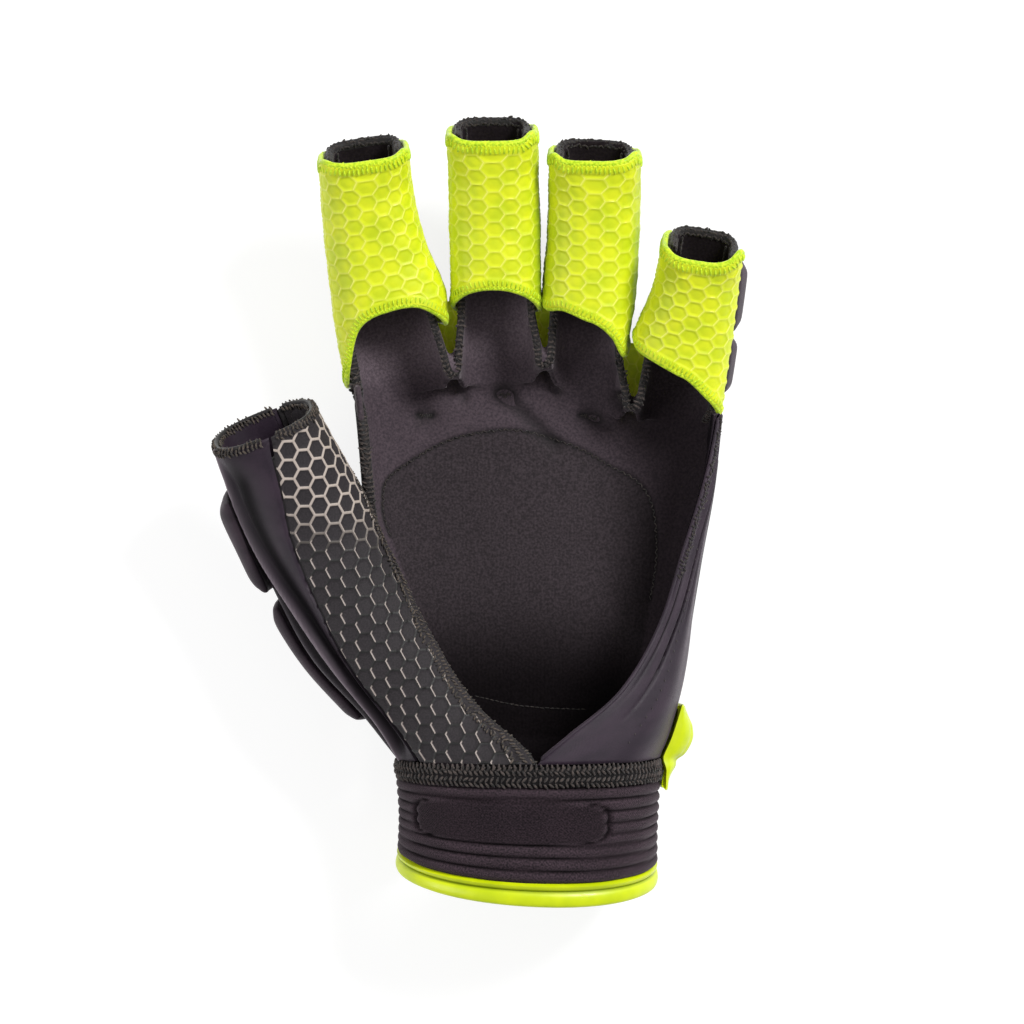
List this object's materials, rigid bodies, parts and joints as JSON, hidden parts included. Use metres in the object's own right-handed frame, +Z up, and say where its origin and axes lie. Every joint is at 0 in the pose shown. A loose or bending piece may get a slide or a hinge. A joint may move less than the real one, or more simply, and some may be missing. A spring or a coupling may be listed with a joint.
{
  "type": "field hockey glove",
  "caption": "Open-palm field hockey glove for the left hand, with fingerless grip sleeves, a foam-padded back, a thumb tube and a ribbed cuff, lying on its back.",
  "frame": {"origin": "on the flat underside of the middle foam pad of the hand's back, which rests on the surface", "axes": "+X to the little-finger side, +Y to the fingertips, +Z up from the surface to the palm side"},
  "size_m": [0.1328, 0.1963, 0.0506],
  "materials": {
    "lining_cloth": "black padded lining cloth",
    "lime_grip_cloth": "lime cloth with a raised hexagon relief",
    "black_grip_cloth": "black grip cloth with grey raised hexagon lines",
    "stretch_cloth": "smooth black stretch cloth",
    "foam": "moulded black foam",
    "tape": "black woven tape with overlock stitches",
    "ribbed_knit": "black ribbed knit",
    "lime_rubber": "satin lime rubber"
  },
  "bodies": {
    "root": {"index_sleeve": "lime_grip_cloth", "index_pad_near": "foam", "index_pad_far": "foam", "middle_sleeve": "lime_grip_cloth", "middle_pad_near": "foam", "middle_pad_far": "foam", "ring_sleeve": "lime_grip_cloth", "ring_pad_near": "foam", "ring_pad_far": "foam", "little_sleeve": "lime_grip_cloth", "little_pad_near": "foam", "little_pad_far": "foam", "lining": "lining_cloth", "knuckle_pad_index": "foam", "knuckle_pad_middle": "foam", "knuckle_pad_ring": "foam", "knuckle_pad_little": "foam", "hand_pad_inner": "foam", "hand_pad_middle": "foam", "hand_pad_outer": "foam", "outer_palm_panel": "stretch_cloth", "thumb_grip_panel": "black_grip_cloth", "thumb_side_panel": "stretch_cloth", "thumb_pad_near": "foam", "thumb_pad_far": "foam", "cuff_seam": "tape", "cuff_band": "ribbed_knit", "cuff_binding": "lime_rubber", "wrist_strap": "tape", "strap_tab": "lime_rubber"}
  },
  "joints": []
}
